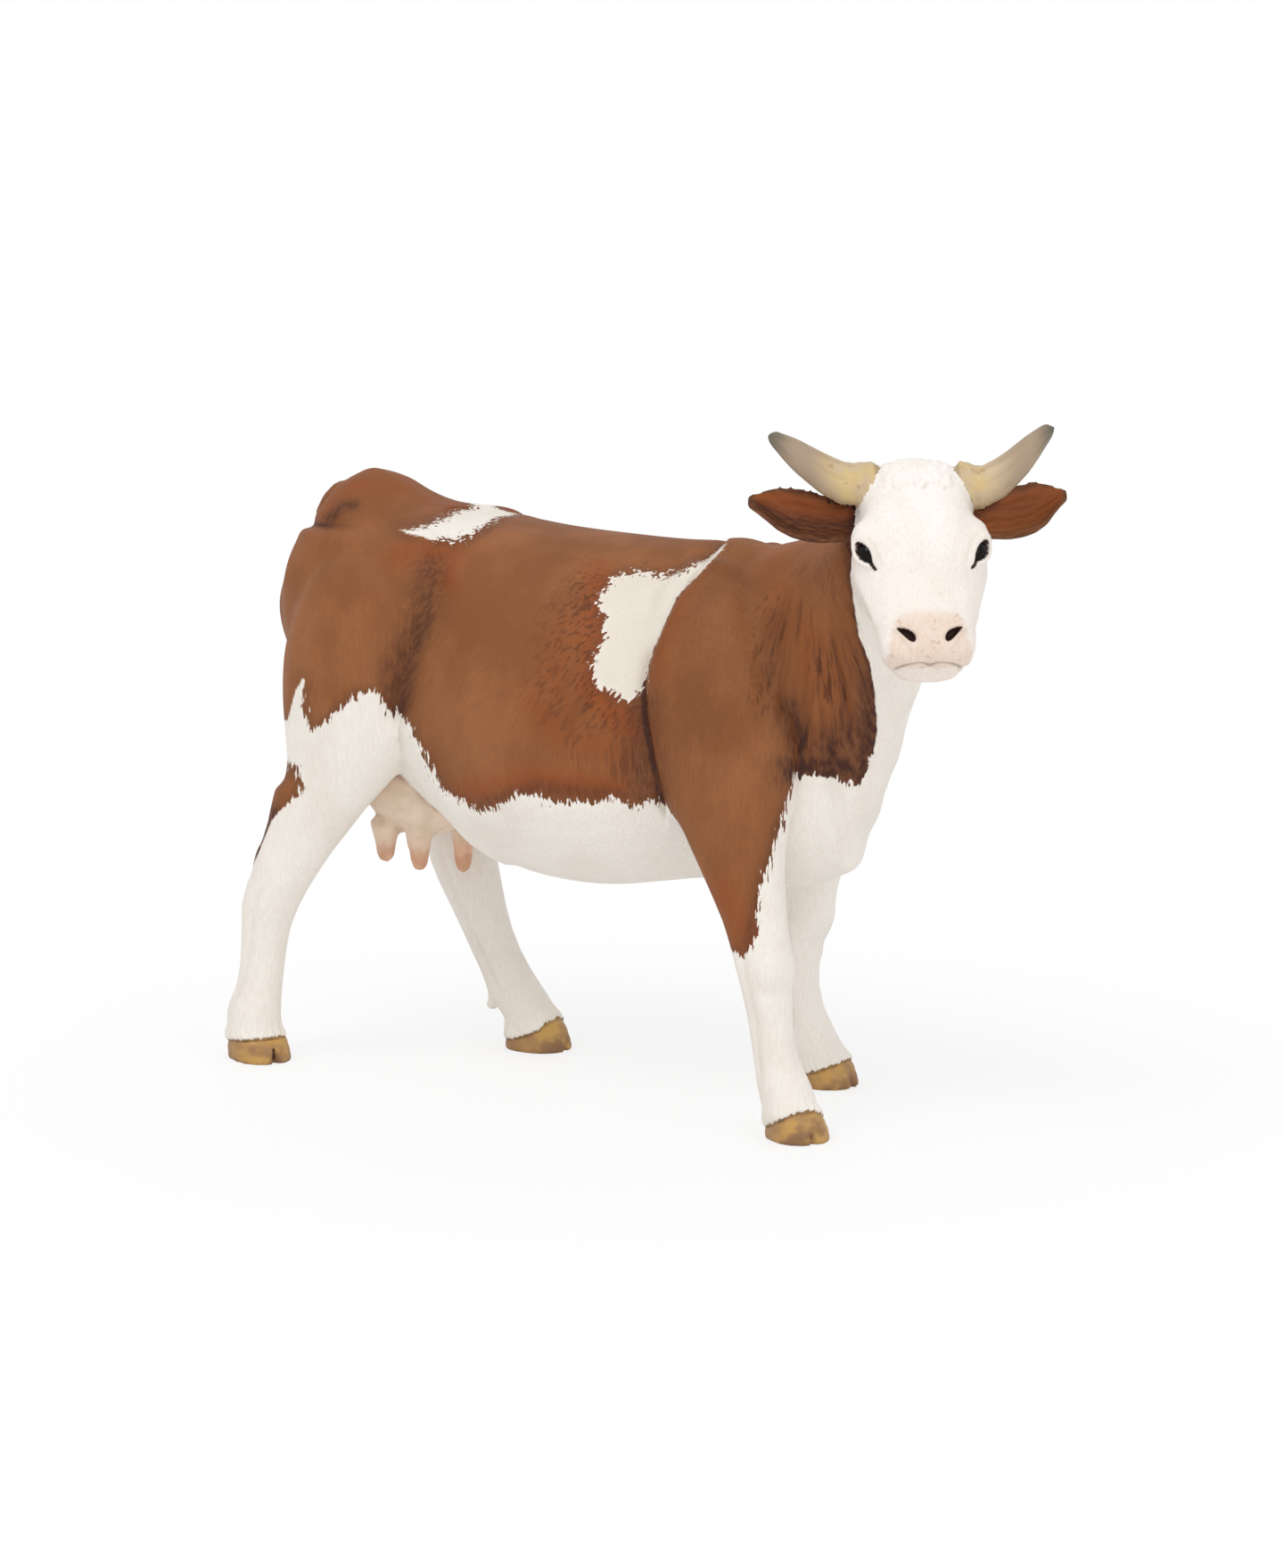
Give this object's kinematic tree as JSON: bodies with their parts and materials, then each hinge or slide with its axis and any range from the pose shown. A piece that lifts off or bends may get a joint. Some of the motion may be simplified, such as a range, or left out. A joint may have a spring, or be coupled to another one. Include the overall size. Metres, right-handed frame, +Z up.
{
  "type": "toy farm animal figure",
  "caption": "Standing horned cow figure with its head turned aside, udder and hanging tail, painted brown and white, for pretend farm play",
  "frame": {"origin": "middle of the figure's footprint box on the ground the hooves stand on", "axes": "+X from tail to chest, +Y to the animal's left, +Z up; the head turns towards -Y"},
  "size_m": [0.1174, 0.0426, 0.0928],
  "materials": {
    "brown_coat": "matte brown paint with white patches, soft sheen",
    "white_coat": "matte off-white paint, soft sheen",
    "horn_paint": "satin horn colour with grey tips",
    "udder_paint": "matte skin colour",
    "eye_paint": "gloss black"
  },
  "bodies": {
    "root": {"body": "brown_coat", "foreleg_right": "brown_coat", "foreleg_left": "white_coat", "hind_leg_right": "white_coat", "hind_leg_left": "white_coat", "udder": "udder_paint", "tail": "brown_coat", "head": "white_coat", "horn_right": "horn_paint", "horn_left": "horn_paint", "ear_right": "brown_coat", "ear_left": "brown_coat"}
  },
  "joints": []
}
